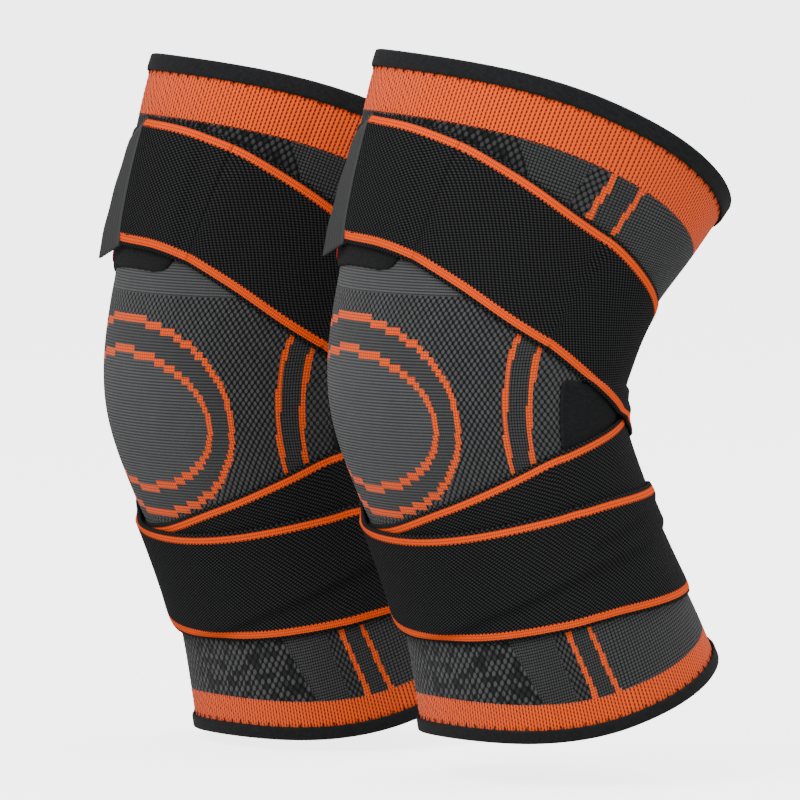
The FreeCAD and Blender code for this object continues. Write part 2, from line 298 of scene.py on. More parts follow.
def cloth_material(name, roughness, sheen):
    """New material: its tree, its shader node and itself."""
    material = bpy.data.materials.new(name)
    material.use_nodes = True
    shader = material.node_tree.nodes["Principled BSDF"]
    shader.inputs["Roughness"].default_value = roughness
    shader.inputs["Specular IOR Level"].default_value = 0.08
    shader.inputs["Sheen Weight"].default_value = sheen
    shader.inputs["Sheen Roughness"].default_value = 0.5
    return material, shader, Wire(material.node_tree)


def connect(shader, colour, relief, depth):
    """Feeds a shader its colour and its bumps, `depth` metres tall."""
    tree = colour.tree
    tree.links.new(colour.socket, shader.inputs["Base Color"])
    bump = colour.node("ShaderNodeBump", None, {"Strength": 1.0, "Distance": depth, "Height": relief})
    tree.links.new(bump.socket, shader.inputs["Normal"])


def chart_wires(root, chart):
    """The two coordinates of a texture grid."""
    uv = root.node("ShaderNodeUVMap", {"uv_map": chart})
    return tuple(uv.node("ShaderNodeSeparateXYZ", None, {0: uv}, output) for output in (0, 1))


def ovals(u, v, width, height):
    """Relief of oval bumps, every other row set half a bump along."""
    nearest = None
    for shift in (0.0, 0.5):
        x = (u / width + shift).fraction() - 0.5
        y = (v / height + shift).fraction() - 0.5
        distance = x * x + y * y
        nearest = distance if nearest is None else nearest.at_most(distance)
    return 1 - 4 * nearest


def pebbles(u, v, width, height):
    """Relief of uneven oval bumps, some of them missing."""
    tallest = None
    for shift in (0.0, 0.5):
        column = u / width + shift
        row = v / height + shift
        x = column.fraction() - 0.5
        y = row.fraction() - 0.5
        share = 0.2 + 0.8 * cell_noise(column + 17 * shift, row, 1.0, 1.0).ramp(0.15, 0.5)
        bump = (1 - 4 * (x * x + y * y)).ramp(0.45, 0.95) * share
        tallest = bump if tallest is None else tallest.at_least(bump)
    return tallest


def squares(u, v, width, height):
    """Relief of a grid of small square bumps."""
    x = abs((u / width).fraction() - 0.5) * 2
    y = abs((v / height).fraction() - 0.5) * 2
    return ((1 - x**3) * (1 - y**3)).ramp(0.15, 0.9)


def cell_noise(u, v, width, height):
    """A random value for each cell of a grid."""
    cell = u.node("ShaderNodeCombineXYZ", None, {0: (u / width).floor(), 1: (v / height).floor()})
    return cell.node("ShaderNodeTexWhiteNoise", {"noise_dimensions": "2D"}, {"Vector": cell})


MM_PER_DEGREE = 1.082
GIRTH = 360 * MM_PER_DEGREE
WALE = GIRTH / 410
COURSE = 1.3
BUMP_WIDTH = GIRTH / 150
BUMP_HEIGHT = 3.6
PEBBLE_WIDTH = GIRTH / 140
PEBBLE_HEIGHT = 4.2
LOWER_PEBBLE_WIDTH = GIRTH / 108
LOWER_PEBBLE_HEIGHT = 4.4
CUFF_WALE = GIRTH / 260
CUFF_COURSE = 1.7
STEP_UP = 2.4
ORANGE = (1.0, 0.105, 0.008, 1)
# Painted shade: the orange yarn as it looks in shade, laid into the knit's hollows
ORANGE_SHADED_GAP = (0.13, 0.006, 0.001, 1)
GREY = (0.068, 0.069, 0.071, 1)
# Painted shade: the grey yarn as it looks in shade, laid into the knit's hollows
GREY_SHADED_GAP = (0.005, 0.0052, 0.0056, 1)
TOP_CUFF = 25.5
BOTTOM_CUFF = 14.6
# Side channel: turn of its middle by height
CHANNEL = [(-124, 82.5), (-95, 77.5), (-20, 78), (0, 79), (25, 80), (79, 90), (100, 93)]
CHANNEL_HALF = 5.0
LINE_HALF_WIDTH = 1.2
# Pebbled grip areas at the front: where they start by height, and their half turns
UPPER_GRIP = 98.0
UPPER_GRIP_FALL = 0.5
UPPER_GRIP_HALF_TURN = 60.0
UPPER_GRIP_WAVE = 4.0
UPPER_GRIP_WAVELENGTH = 6.0
LOWER_GRIP = -75.0
LOWER_GRIP_HALF_TURN = 44.0
LOWER_GRIP_LEVEL = -91.0
LOWER_GRIP_SPREAD = 0.38
# Ribbed band above the kneecap: lowest and highest height, and half turn
RIBBED_BAND = (49.0, 64.0, 70.0)
BAND_BESIDE_CHANNEL = 13.5
# Lines round the kneecap: middle height, half height and half turn
OUTER_RING = (-4.0, 42.0, 54.0)
INNER_RING = (-5.2, 29.2, 44.5)


def to_stitch(value, size):
    """Middle of the stitch that a place falls in."""
    return ((value / size).floor() + 0.5) * size


def inside_ellipse(u, v, ellipse):
    """1 inside an ellipse of middle height, half height and half turn."""
    middle, half_height, half_turn = ellipse
    return (u / (half_turn * MM_PER_DEGREE)) ** 2 + ((v - middle) / half_height) ** 2 < 1


def knitted_ellipse(u, v, ellipse):
    """Line round an ellipse, worked in whole courses where flat and whole wales where steep."""
    middle, half_height, half_turn = ellipse
    half_width = half_turn * MM_PER_DEGREE
    x = to_stitch(u, 2 * WALE) / half_width
    level = to_stitch(half_height * (1 - x * x).at_least(0) ** 0.5, STEP_UP)
    flat = (abs(abs(v - middle) - level) < 1.65) * (abs(x) < 0.94)
    y = to_stitch(v - middle, STEP_UP) / half_height
    reach = to_stitch(half_width * (1 - y * y).at_least(0) ** 0.5, WALE)
    steep = (abs(abs(u) - reach) < 1.25) * (abs(y) < 0.9)
    return flat.at_least(steep)


def channel_turn(height):
    """Turn of the side channel's middle, straight between its table's rows."""
    turn = None
    for (low, first), (high, second) in zip(CHANNEL, CHANNEL[1:]):
        share = ((height - low) / (high - low)).at_least(0).at_most(1)
        turn = first + share * (second - first) if turn is None else turn + share * (second - first)
    return turn


def cuff_loops(u, v):
    """Relief of the cuffs' upright cords, with a slit between neighbours at every other course."""
    across = abs((u / CUFF_WALE).fraction() - 0.5) * 2
    stagger = (u / CUFF_WALE + 0.5).floor() * 0.5
    along = abs((v / CUFF_COURSE + stagger).fraction() - 0.5) * 2
    groove = across.ramp(0.4, 0.9)
    return 1 - groove * (0.3 + 0.7 * along.ramp(0.85, 0.35)) - 0.15 * along**4


def flat_ribs(u, v):
    """Relief of level ribs, one for each course, faintly parted at each wale."""
    ribs = 1 - (abs((v / COURSE).fraction() - 0.5) * 2) ** 2 * 0.9
    return ribs * (1 - (abs((u / WALE).fraction() - 0.5) * 2) ** 4 * 0.3)


def knit_material():
    """The whole sleeve's knit. Its areas and colours change only from stitch to stitch, and painted shade
    darkens the hollows of each stitch.
    """
    material, shader, root = cloth_material("knit", 0.9, 0.12)
    u, v = chart_wires(root, "Knit")
    below_top, above_bottom = chart_wires(root, "Rims")
    # Where the orange yarn shows
    rings = knitted_ellipse(u, v, OUTER_RING).at_least(knitted_ellipse(u, v, INNER_RING))
    from_channel = abs(to_stitch(u, WALE)) - channel_turn(to_stitch(v, STEP_UP)) * MM_PER_DEGREE
    channel_lines = abs(abs(from_channel) - CHANNEL_HALF * MM_PER_DEGREE) < LINE_HALF_WIDTH
    lines = rings.at_least(channel_lines)
    tooth = (abs((u / CUFF_WALE).fraction() - 0.5) < 0.3) * 0.6
    cuffs = (below_top + tooth < TOP_CUFF).at_least(above_bottom - tooth < BOTTOM_CUFF)
    # Areas of the grey yarn
    turn = abs(u / MM_PER_DEGREE)
    upper = v > UPPER_GRIP - UPPER_GRIP_FALL * turn
    lower = v < LOWER_GRIP
    ends = upper.at_least(lower)
    lower_edge = LOWER_GRIP_HALF_TURN + (LOWER_GRIP_LEVEL - v) * LOWER_GRIP_SPREAD
    wave = (v / UPPER_GRIP_WAVELENGTH).sine()
    grip_edge = upper.choose(lower_edge, UPPER_GRIP_HALF_TURN + UPPER_GRIP_WAVE * wave)
    beside_grip = (turn > grip_edge) * (from_channel < -BAND_BESIDE_CHANNEL) * ends
    grip = (turn < grip_edge) * ends
    kneecap = inside_ellipse(u, v, OUTER_RING)
    kneecap_middle = inside_ellipse(u, v, INNER_RING)
    in_channel = abs(from_channel) < CHANNEL_HALF * MM_PER_DEGREE
    band_low, band_high, band_half_turn = RIBBED_BAND
    band = (v > band_low) * (v < band_high) * (turn < band_half_turn)
    # Relief and lightness of the common stitch, then of each area laid over it
    fine = squares(u, v, 1.3 * WALE, 1.25)
    ribs = flat_ribs(u, v)
    relief = ovals(u, v, BUMP_WIDTH, BUMP_HEIGHT).ramp(0.42, 0.9)
    tone = (0.85 + 0.2 * cell_noise(u, v, BUMP_WIDTH, BUMP_HEIGHT / 2)) * (1 - 0.2 * ends)
    areas = [
        ((from_channel > 0) * ends, squares(u, v, 1.5 * WALE, 1.45), 0.93),
        (beside_grip, fine, 0.78),
        (grip * upper, pebbles(u, v, PEBBLE_WIDTH, PEBBLE_HEIGHT), 0.62),
        (grip * lower, pebbles(u, v, LOWER_PEBBLE_WIDTH, LOWER_PEBBLE_HEIGHT), 0.98),
        (kneecap, ribs, 1.0),
        (kneecap_middle.at_least(band), ribs, 1.35),
        (in_channel, fine, 0.8),
        (lines, 0.5 + 0.5 * squares(u, v + 0.4, 1.3 * WALE, COURSE), 1.0),
        (cuffs, cuff_loops(u, v), 1.0),
    ]
    for area, area_relief, area_tone in areas:
        relief = area.choose(relief, area_relief)
        tone = area.choose(tone, area_tone)
    uv = root.node("ShaderNodeUVMap", {"uv_map": "Knit"})
    mottle = root.node("ShaderNodeTexNoise", None, {"Vector": uv, "Scale": 0.08})
    # Painted shade: the grey darkens to its shaded gap colour wherever the relief is low
    grey = relief.tint(GREY_SHADED_GAP, GREY)
    mottled_tone = tone * (0.88 + 0.24 * mottle)
    grey = grey.node("ShaderNodeVectorMath", {"operation": "SCALE"}, {0: grey, "Scale": mottled_tone})
    # Painted shade: the orange darkens to its shaded gap colour wherever the relief is low
    colour = lines.at_least(cuffs).tint(grey, relief.tint(ORANGE_SHADED_GAP, ORANGE))
    connect(shader, colour, relief, 0.0006)
    return material


KNIT = knit_material()
COLUMNS = 320
ROWS = 212


def pebble_relief(u, v):
    """Height of the large grip bumps on a sleeve, in their areas only."""
    turn = np.abs(u / MM_PER_DEGREE)
    above = smooth_step(-2, 2, v - UPPER_GRIP + UPPER_GRIP_FALL * turn)
    above *= smooth_step(UPPER_GRIP_HALF_TURN + 3, UPPER_GRIP_HALF_TURN - 3, turn)
    edge = LOWER_GRIP_HALF_TURN + (LOWER_GRIP_LEVEL - v) * LOWER_GRIP_SPREAD
    under = smooth_step(LOWER_GRIP + 2, LOWER_GRIP - 2, v) * smooth_step(edge + 3, edge - 3, turn)
    sizes = ((above, PEBBLE_WIDTH, PEBBLE_HEIGHT), (under, LOWER_PEBBLE_WIDTH, LOWER_PEBBLE_HEIGHT))
    relief = np.zeros_like(u)
    for share, width, height in sizes:
        nearest = np.full_like(u, 1.0)
        for shift in (0.0, 0.5):
            x = (u / width + shift) % 1 - 0.5
            y = (v / height + shift) % 1 - 0.5
            nearest = np.minimum(nearest, x * x + y * y)
        relief += share * (1 - 4 * nearest)
    return relief


def bend_at_knee(piece):
    """Moves the piece's placement into its mesh points."""
    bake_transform(piece)


def knit_sleeve(side):
    """One sleeve's whole tube. Its chart runs up the skin, so the knee's pattern bows over the kneecap."""
    turn = np.linspace(-180, 180, COLUMNS + 1)[None, :]
    share = np.linspace(0, 1, ROWS)[:, None]
    low = rim(BOTTOM_RIM, turn)
    high = rim(TOP_RIM, turn)
    height = low * (1 - share) + high * share
    turn = np.broadcast_to(turn, height.shape)
    skin = skin_height(height, turn)
    to_plain = smooth_step(55, 95, height) + smooth_step(-45, -85, height)
    v = skin * (1 - to_plain) + height * to_plain
    u = turn * MM_PER_DEGREE
    pebbled = pebble_relief(u, v)
    relief = 0.7 * pebbled - 0.5 * (pebbled != 0)
    shift = SIDES[side]
    outer = leg_point(height, turn, relief) + shift
    inner = leg_point(height, turn, -KNIT_THICKNESS) + shift
    charts = {
        "Knit": np.stack((u, v), -1),
        "Rims": np.stack((high - height, height - low), -1),
    }
    sleeve = slab(f"{side}_knit_sleeve", outer, inner, charts, True)
    sleeve.data.materials.append(KNIT)
    bend_at_knee(sleeve)
    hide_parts(f"{side}_thigh_knit", f"{side}_knee_knit", f"{side}_calf_knit")
    return sleeve


SLEEVES = {side: knit_sleeve(side) for side in SIDES}


# Bindings. A flat elastic tape is folded over each rim and overlocked to the knit
# with black thread, which draws the orange edge into a row of shallow scallops.
TOP_BINDING_WIDTH = 6.4
BOTTOM_BINDING_WIDTH = 4.6
BINDING_HALF_THICKNESS = 0.6
STITCH_PITCH = 5.4
OVERLOCK_STITCH = 2.0
OVERLOCK_THREAD = 0.45
BLACK = (0.012, 0.0123, 0.0132, 1)
BINDING_STEPS = 720


def plain_cloth(name, colour, roughness, grain, depth, sheen=0.0):
    """Closely woven cloth of one colour, its threads `grain` millimetres apart, with painted shade between
    the threads.
    """
    material, shader, root = cloth_material(name, roughness, sheen)
    u, v = chart_wires(root, "Cloth")
    weave = ovals(u, v, grain, grain).ramp(0.0, 0.9)
    nap = cell_noise(u + 0.5 * v, v, 1.6 * grain, 0.8 * grain)
    # Painted shade: the cloth's colour at a third of its brightness, for the hollows between threads
    weave_shade = tuple(0.35 * part for part in colour[:3]) + (1,)
    worn = tuple(1.5 * part for part in colour[:3]) + (1,)
    # Painted shade in the weave's hollows; the nap's lighter cells are random tone
    connect(shader, weave.tint(weave_shade, nap.tint(colour, worn)), weave + 0.5 * nap, depth)
    return material


BINDING = plain_cloth("binding", BLACK, 0.85, 0.8, 0.0001, 0.03)
OVERLOCK = plain_cloth("overlock_thread", (0.014, 0.014, 0.015, 1), 0.6, 0.3, 0.00005)


def tape_profile(width, outward):
    """Outs and heights round the cut face of a tape folded over a rim."""
    middle = -KNIT_THICKNESS / 2
    radius = KNIT_THICKNESS / 2 + 0.3 + BINDING_HALF_THICKNESS
    path = []
    for share in np.linspace(0, 1, 7):
        path.append((middle + radius, -width * (1 - share), 1.0, 0.0))
    for angle in np.radians(np.linspace(20, 160, 8)):
        across, along = math.cos(angle), math.sin(angle)
        path.append((middle + radius * across, radius * 0.4 * along, across, along))
    for share in np.linspace(0, 1, 7):
        path.append((middle - radius, -width * share, -1.0, 0.0))
    path = np.array(path)
    loop = []
    for side in (1, -1):
        swell = BINDING_HALF_THICKNESS * side * np.ones(len(path))
        swell[[0, -1]] *= 0.45
        face = path[:, :2] + path[:, 2:] * swell[:, None]
        loop.append(face[::side])
    loop = np.concatenate(loop)
    return loop[:, 0], loop[:, 1] * outward


def ring(name, profile, edge, shift, chart_step=1.0):
    """Closed band round the leg from a closed profile of outs and heights above its edge."""
    outs, aboves = profile
    turn = np.linspace(-180, 180, BINDING_STEPS + 1)[:-1]
    heights = edge(turn)[None, :] + aboves
    points = leg_point(heights, turn[None, :], outs) + shift
    count, columns = points.shape[:2]
    row, column = np.meshgrid(np.arange(count), np.arange(columns), indexing="ij")
    row = row.ravel()
    column = column.ravel()
    corners = [(row, column), (row, column + 1), (row + 1, column + 1), (row + 1, column)]
    loops = np.stack([r % count * columns + c % columns for r, c in corners], 1)
    chart = np.stack([np.stack((c * GIRTH / columns, r * chart_step), -1) for r, c in corners], 1)
    return cloth_object(name, points.reshape(-1, 3), loops, {"Cloth": chart})


def threads(name, centres, alongs, normals, length, thickness, shift):
    """Short thread floats lying on a face, each a slim spindle."""
    rings = np.linspace(-1, 1, 7)
    angles = np.linspace(0, 2 * math.pi, 7)[:-1]
    girths = np.sqrt(1 - rings**2) * 0.5 * thickness
    girths[[0, -1]] = 0.1 * thickness
    centres = np.asarray(centres) + shift
    sides = np.cross(alongs, normals)
    spindle = []
    for place, girth in zip(rings, girths):
        for angle in angles:
            spindle.append((place * length / 2, girth * math.cos(angle), girth * math.sin(angle)))
    spindle = np.array(spindle)
    axes = np.stack((alongs, sides, normals), 1)
    points = centres[:, None, :] + np.einsum("pk,nkc->npc", spindle, axes)
    faces = []
    sides_count = len(angles)
    for ring_index in range(len(rings) - 1):
        for index in range(sides_count):
            after = (index + 1) % sides_count
            low = ring_index * sides_count
            high = low + sides_count
            faces.append((low + index, high + index, high + after, low + after))
    faces = np.array(faces)
    offsets = np.arange(len(centres))[:, None, None] * len(spindle)
    loops = (faces[None] + offsets).reshape(-1, 4)
    square = [0.0, 0.0, 1.0, 0.0, 1.0, 1.0, 0.0, 1.0]
    return cloth_object(name, points.reshape(-1, 3), loops, {"Cloth": np.tile(square, len(loops))})


def unit(vectors):
    """Vectors made one long."""
    return vectors / np.linalg.norm(vectors, axis=-1, keepdims=True)


def leg_frame(height, turn, out):
    """Points on a face with unit directions up the leg, round it and outward."""
    step = 0.5
    upward = leg_point(height + step, turn, out) - leg_point(height - step, turn, out)
    around = leg_point(height, turn + step, out) - leg_point(height, turn - step, out)
    outward = unit(np.cross(around, upward))
    return leg_point(height, turn, out), unit(upward), unit(around), outward


def rim_binding(side, place, terms, width, outward, body):
    """One folded tape with its overlock threads, on one rim of one sleeve."""
    shift = SIDES[side]
    count = round(GIRTH / STITCH_PITCH)
    turn = np.linspace(-180, 180, BINDING_STEPS + 1)[:-1]
    outs, aboves = tape_profile(width, outward)
    arch = np.abs(np.sin(np.radians(turn) * count / 2)) ** 0.4
    near_hem = smooth_step(width - 2.5, width, np.abs(aboves)) * (np.sign(aboves) != outward)
    heights = aboves[:, None] + outward * near_hem[:, None] * (arch * 0.35 - 0.25)
    profile = (outs[:, None], heights)
    tape = ring(f"{side}_{place}_tape", profile, lambda at: rim(terms, at), shift, width / 8)
    tape.data.materials.append(BINDING)
    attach(tape, body)
    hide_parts(f"{side}_{place}_binding")
    stitch_turn = np.arange(count) * 360.0 / count
    height = rim(terms, stitch_turn) - outward * (width + 0.5)
    centres, upward, _, normals = leg_frame(height, stitch_turn, 0.35)
    name = f"{side}_{place}_overlock"
    overlock = threads(name, centres, upward, normals, OVERLOCK_STITCH, OVERLOCK_THREAD, shift)
    overlock.data.materials.append(OVERLOCK)
    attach(overlock, body)
    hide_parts(f"{side}_{place}_binding_stitches")


for side in SIDES:
    rim_binding(side, "top", TOP_RIM, TOP_BINDING_WIDTH, 1, f"{side}_thigh")
    rim_binding(side, "bottom", BOTTOM_RIM, BOTTOM_BINDING_WIDTH, -1, f"{side}_calf")


# Silicone grip bands. Each is printed in three thin beads on the inside of the knit,
# one band near each end of the tube, and stops the sleeve from sliding down the leg.
GRIP_HEIGHT = 7.0
GRIP_DROP = 5.0
GRIP_THICKNESS = 0.6


def silicone_material():
    """Clear grey silicone, cloudy from the knit that shows through it."""
    material, shader, root = cloth_material("silicone", 0.32, 0.0)
    shader.inputs["Specular IOR Level"].default_value = 0.5
    shader.inputs["Transmission Weight"].default_value = 0.25
    u, v = chart_wires(root, "Cloth")
    cloud = cell_noise(u, v, 1.9, 0.6)
    colour = cloud.tint((0.30, 0.31, 0.32, 1), (0.40, 0.41, 0.42, 1))
    connect(shader, colour, ovals(u, v, 1.9, 0.6) + 0.3 * cloud, 0.00005)
    return material


SILICONE = silicone_material()


def grip_band(side, place, terms, width, outward, body):
    """Three beads side by side on a thin backing, inside one end of the tube."""
    spread = np.linspace(0, 1, 25)
    bead = GRIP_THICKNESS * np.abs(np.sin(3 * math.pi * spread)) ** 0.5
    back = -KNIT_THICKNESS - 0.05
    outs = np.concatenate((np.full(25, back), back - bead[::-1] - 0.05))
    aboves = np.concatenate((spread, spread[::-1])) * GRIP_HEIGHT - GRIP_HEIGHT / 2
    middle = (width + GRIP_DROP + (GRIP_HEIGHT / 2 if outward > 0 else 0)) * outward
    band = ring(
        f"{side}_{place}_silicone",
        (outs[:, None], aboves[:, None] + np.zeros(BINDING_STEPS)),
        lambda at: rim(terms, at) - middle,
        SIDES[side],
    )
    band.data.materials.append(SILICONE)
    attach(band, body)
    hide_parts(f"{side}_{place}_grip_strip")


for side in SIDES:
    grip_band(side, "top", TOP_RIM, TOP_BINDING_WIDTH, 1, f"{side}_thigh")
    grip_band(side, "bottom", BOTTOM_RIM, BOTTOM_BINDING_WIDTH, -1, f"{side}_calf")


# Patches. A woven anchor patch beside the back of the knee holds the strap's sewn
# start, and a soft loop patch above the kneecap takes the strap's hook end. A small red label
# is stitched into the loop patch's edge, with nothing printed on it.
PATCH_THICKNESS = 1.0
PATCH_OUT = 0.3
ANCHOR_PATCH = (96.0, 165.0, -60.0, 14.0)
LOOP_PATCH = (-46.0, 24.0, 34.0, 92.0)
LABEL = (-36.0, -27.0, 37.0, 47.0)
LABEL_THICKNESS = 0.5
ANCHOR_CORNER = 3.0
LOOP_CORNER = 12.0
LOOP_STITCHES = 12
SEAM_INSET = 2.0
SEAM_PITCH = 4.8
SEAM_STITCH = 3.0
SEAM_THREAD = 0.4
PATCH_CLOTH = plain_cloth("patch_cloth", (0.013, 0.0133, 0.0142, 1), 0.9, 0.9, 0.00015)
LOOP_PILE = plain_cloth("loop_pile", (0.008, 0.0082, 0.0085, 1), 0.95, 0.7, 0.0003, 0.05)
BLACK_THREAD = plain_cloth("black_thread", (0.014, 0.014, 0.015, 1), 0.6, 0.3, 0.00005)
LABEL_CLOTH = plain_cloth("label", (0.55, 0.02, 0.03, 1), 0.7, 0.5, 0.00005)


def patch(name, edges, corner, out, thickness, shift, rows=60, columns=70):
    """Rounded rectangle of cloth laid on the leg. corner is its corner radius."""
    first, last, low, high = edges
    share = np.linspace(-1, 1, rows)[:, None]
    across = np.linspace(-1, 1, columns)[None, :]
    half_height = (high - low) / 2
    from_end = (1 - np.abs(share)) * half_height
    rounded = np.clip(1 - from_end / corner, 0, 1)
    inset = corner * (1 - np.sqrt(1 - rounded**2)) / MM_PER_DEGREE
    half_turn = (last - first) / 2 - inset * 0.98
    turn = (first + last) / 2 + across * half_turn
    height = (low + high) / 2 + share * half_height + 0 * across
    thinned = thickness * (1 - 0.5 * np.maximum(np.abs(across), np.abs(share)) ** 24)
    outer = leg_point(height, turn, out + thinned) + shift
    inner = leg_point(height, turn, out) + shift
    chart = np.stack((turn * MM_PER_DEGREE, height), -1)
    return slab(name, outer, inner, {"Cloth": chart}, False)


def sew(name, side, centres, alongs, normals):
    """Running stitch of black thread, one float at each centre."""
    seam = threads(name, centres, alongs, normals, SEAM_STITCH, SEAM_THREAD, SIDES[side])
    seam.data.materials.append(BLACK_THREAD)
    return seam


def anchor_patch(side):
    """The patch under the strap's start, sewn to the sleeve."""
    shift = SIDES[side]
    anchor = patch(f"{side}_anchor_cloth", ANCHOR_PATCH, ANCHOR_CORNER, PATCH_OUT, PATCH_THICKNESS, shift)
    anchor.data.materials.append(PATCH_CLOTH)
    bend_at_knee(anchor)
    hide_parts(f"{side}_anchor_patch")
    # The seams are sewn through the patch just inside its two upright edges
    first, last, low, high = ANCHOR_PATCH
    inset = SEAM_INSET / MM_PER_DEGREE
    rise = np.arange(low + SEAM_INSET + 1, high - SEAM_INSET, SEAM_PITCH)
    heights = np.concatenate((rise, rise))
    turns = np.repeat((first + inset, last - inset), len(rise))
    centres, upward, _, normals = leg_frame(heights, turns, PATCH_OUT + PATCH_THICKNESS + 0.1)
    seam = sew(f"{side}_anchor_seam", side, centres, upward, normals)
    bend_at_knee(seam)
    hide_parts(f"{side}_anchor_stitching")
    return anchor


def loop_patch(side):
    """The soft patch that the strap's hook end sticks to."""
    loop = patch(f"{side}_loop_cloth", LOOP_PATCH, LOOP_CORNER, PATCH_OUT, PATCH_THICKNESS, SIDES[side])
    loop.data.materials.append(LOOP_PILE)
    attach(loop, f"{side}_thigh")
    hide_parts(f"{side}_loop_patch")
    # Its seams run over the upper and lower edges, between the rounded corners
    first, last, low, high = LOOP_PATCH
    run = np.linspace(first + LOOP_CORNER, last - LOOP_CORNER, LOOP_STITCHES)
    heights = np.repeat((low - 0.2, high + 0.2), LOOP_STITCHES)
    centres, _, around, normals = leg_frame(heights, np.concatenate((run, run)), 0.5)
    seam = sew(f"{side}_loop_seam", side, centres, around, normals)
    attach(seam, f"{side}_thigh")
    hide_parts(f"{side}_loop_patch_stitching")
    return loop


def blank_label(side):
    """The small red label, with nothing on it."""
    out = PATCH_OUT + PATCH_THICKNESS + 0.1
    label = patch(f"{side}_red_label", LABEL, 0.5, out, LABEL_THICKNESS, SIDES[side], 8, 8)
    label.data.materials.append(LABEL_CLOTH)
    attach(label, f"{side}_thigh")
    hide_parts(f"{side}_blank_label")


for side in SIDES:
    anchor_patch(side)
    loop_patch(side)
    blank_label(side)


# Strap. One elastic webbing, 50 mm wide, is sewn at its start to the anchor patch.
# It runs twice round the calf, up behind the knee and over the thigh, and its last
# part carries hook tape and a stiff pull tab. Each layer drapes over those below.
STRAP_WIDTH = 50.0
STRAP_THICKNESS = 1.8
STRAP_REST = 0.4
LAYER_RISE = 2.15
HOOK_RISE = 1.4
# Centreline: turn counted on past each full circle, and height up the skin
STRAP_ROUTE = [
    (150, -30),
    (131, -33),
    (98, -41.5),
    (73, -51),
    (41, -63),
    (0, -75.5),
    (-50, -76),
    (-100, -69),
    (-150, -61),
    (-190, -60),
    (-205, -61.5),
    (-256, -65.5),
    (-282, -70.5),
    (-333, -77.5),
    (-374, -76.5),
    (-400, -69),
    (-440, -52),
    (-470, -36.5),
    (-500, -21),
    (-540, -2),
    (-560, 8),
    (-575, 16),
    (-595, 27),
    (-615, 39.5),
    (-640, 58),
    (-660, 74),
    (-674, 83.5),
    (-685, 89.5),
    (-703, 94.8),
    (-724, 96.5),
]
STRAP_PARTING = -685.0
STRAP_COLUMNS = 620
MARCH_STEPS = 18
# The strap is stretched narrow round the calf, and relaxes to its full width over the thigh
RELAXED_GAIN = 2.9
RELAXED_RISE = 1.3
# Length of strap taken by about one turn round the leg, for finding the layers below each place
ONE_TURN_LENGTH = 370.0
# Turns of the route between which the strap rises over its own hook tape
HOOK_RAMP = (-664.0, -684.0)
# Orange stripe: its nearer and farther edge from the selvedge
STRIPE = (1.4, 4.1)
COLUMNS_AT_ONCE = 20
POINTS_AT_ONCE = 4000


def height_and_turn(point):
    """Heights and turns of points near the knit: the reverse of leg_point()."""
    lean = np.clip(np.arctan2(point[..., 2], KNEE_BEND_RADIUS - point[..., 1]), -CALF_LEAN, THIGH_LEAN)
    height = lean * KNEE_BEND_RADIUS
    back, up, _ = centreline(height)
    height = height + (point[..., 1] - back) * np.sin(lean) + (point[..., 2] - up) * np.cos(lean)
    back, up, _ = centreline(height)
    backward = (point[..., 1] - back) * np.cos(lean) - (point[..., 2] - up) * np.sin(lean)
    depth = np.where(backward > 0, smooth_column(STATIONS, 3, height), smooth_column(STATIONS, 2, height))
    sideways = point[..., 0] / smooth_column(STATIONS, 1, height)
    across = np.sign(sideways) * np.abs(sideways) ** (1 / SQUARENESS)
    forward = -np.sign(backward) * np.abs(backward / depth) ** (1 / SQUARENESS)
    return height, np.degrees(np.arctan2(across, forward))


def centreline_height(skin, turn):
    """Height on the centreline of a height measured up the skin."""
    height = skin
    for _ in range(3):
        to_crease = KNEE_BEND_RADIUS - section(height, turn, 0.0)[1]
        bent = np.clip(skin, -CALF_LEAN * to_crease, THIGH_LEAN * to_crease)
        height = bent / to_crease * KNEE_BEND_RADIUS + skin - bent
    return height


def relaxed(route_turn):
    """How far the strap has relaxed, from 0 on the calf to 1 over the thigh."""
    return smooth_step(-560.0, -645.0, route_turn)


def route_point(route_turn):
    """Points of the strap's centreline on the knit."""
    skin = smooth_column(STRAP_ROUTE, 1, route_turn) + RELAXED_RISE * relaxed(route_turn)
    return leg_point(centreline_height(skin, route_turn), route_turn, 0.0)


def strap_grid(route_turn):
    """Heights and turns of the strap's grid, marched out from its centreline along the knit."""
    along = unit(route_point(route_turn + 1.0) - route_point(route_turn - 1.0))
    middle = route_point(route_turn)
    half_width = STRAP_WIDTH / 2 + RELAXED_GAIN * relaxed(route_turn)[:, None]
    rows = {0: height_and_turn(middle)}
    for way in (1, -1):
        point = middle
        height, turn = rows[0]
        heading = way * unit(np.cross(leg_frame(height, turn, 0.0)[3], along))
        for step in range(1, MARCH_STEPS + 1):
            point = point + heading * (half_width / MARCH_STEPS)
            height, turn = height_and_turn(point)
            _, _, _, outward = leg_frame(height, turn, 0.0)
            point = leg_point(height, turn, 0.0)
            heading = unit(heading - outward * np.sum(heading * outward, -1, keepdims=True))
            rows[way * step] = (height, turn)
    order = sorted(rows)
    heights = np.stack([rows[index][0] for index in order])
    turns = np.stack([rows[index][1] for index in order])
    return heights, turns


def covered(points, centres, tangents):
    """How far points are covered by a strap lying along centres, 0 to 1."""
    flat = points.reshape(-1, 3)
    share = np.zeros(len(flat))
    for index in range(0, len(flat), POINTS_AT_ONCE):
        part = flat[index : index + POINTS_AT_ONCE]
        gaps = part[:, None, :] - centres[None]
        nearest = np.argmin(np.sum(gaps**2, -1), 1)
        offset = part - centres[nearest]
        along = np.sum(offset * tangents[nearest], -1)
        across = np.linalg.norm(offset - along[:, None] * tangents[nearest], axis=-1)
        excess = np.maximum(across - STRAP_WIDTH / 2, np.abs(along) - 1.0)
        share[index : index + POINTS_AT_ONCE] = 1 - smooth_step(-0.5, 4.5, excess)
    return share.reshape(points.shape[:-1])


